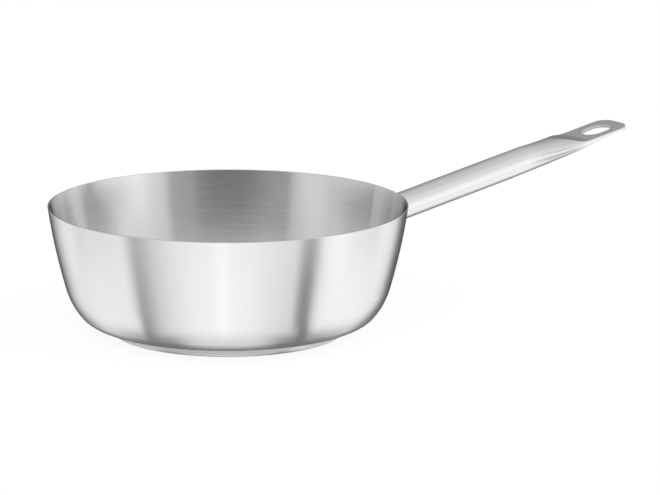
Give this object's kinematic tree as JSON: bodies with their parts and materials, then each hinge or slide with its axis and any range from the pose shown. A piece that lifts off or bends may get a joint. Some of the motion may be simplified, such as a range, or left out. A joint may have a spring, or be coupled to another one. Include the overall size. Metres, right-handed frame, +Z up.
{
  "type": "saucier pan",
  "caption": "Flared steel saucier pan with a rounded corner, a thick sandwich base and a long hollow tube handle pressed flat at its end with a hanging slot.",
  "frame": {"origin": "centre of the flat underside of the base, on the surface that the pan stands on", "axes": "+Z up through the bowl's mouth, +X along the handle away from the bowl, +Y across the handle"},
  "size_m": [0.4503, 0.2398, 0.1091],
  "materials": {
    "shell_steel": "satin brushed round the bowl",
    "core_aluminium": "plain rolled",
    "cap_steel": "turned rings underneath, polished edge",
    "handle_steel": "fine satin along the tube",
    "bracket_steel": "mill finish",
    "weld_metal": "bright, as welded"
  },
  "bodies": {
    "root": {"pan_body": "shell_steel", "base_core": "core_aluminium", "base_cap": "cap_steel", "handle_tube": "handle_steel", "handle_bracket": "bracket_steel", "bracket_spot_welds": "weld_metal", "handle_weld_bead": "weld_metal"}
  },
  "joints": []
}
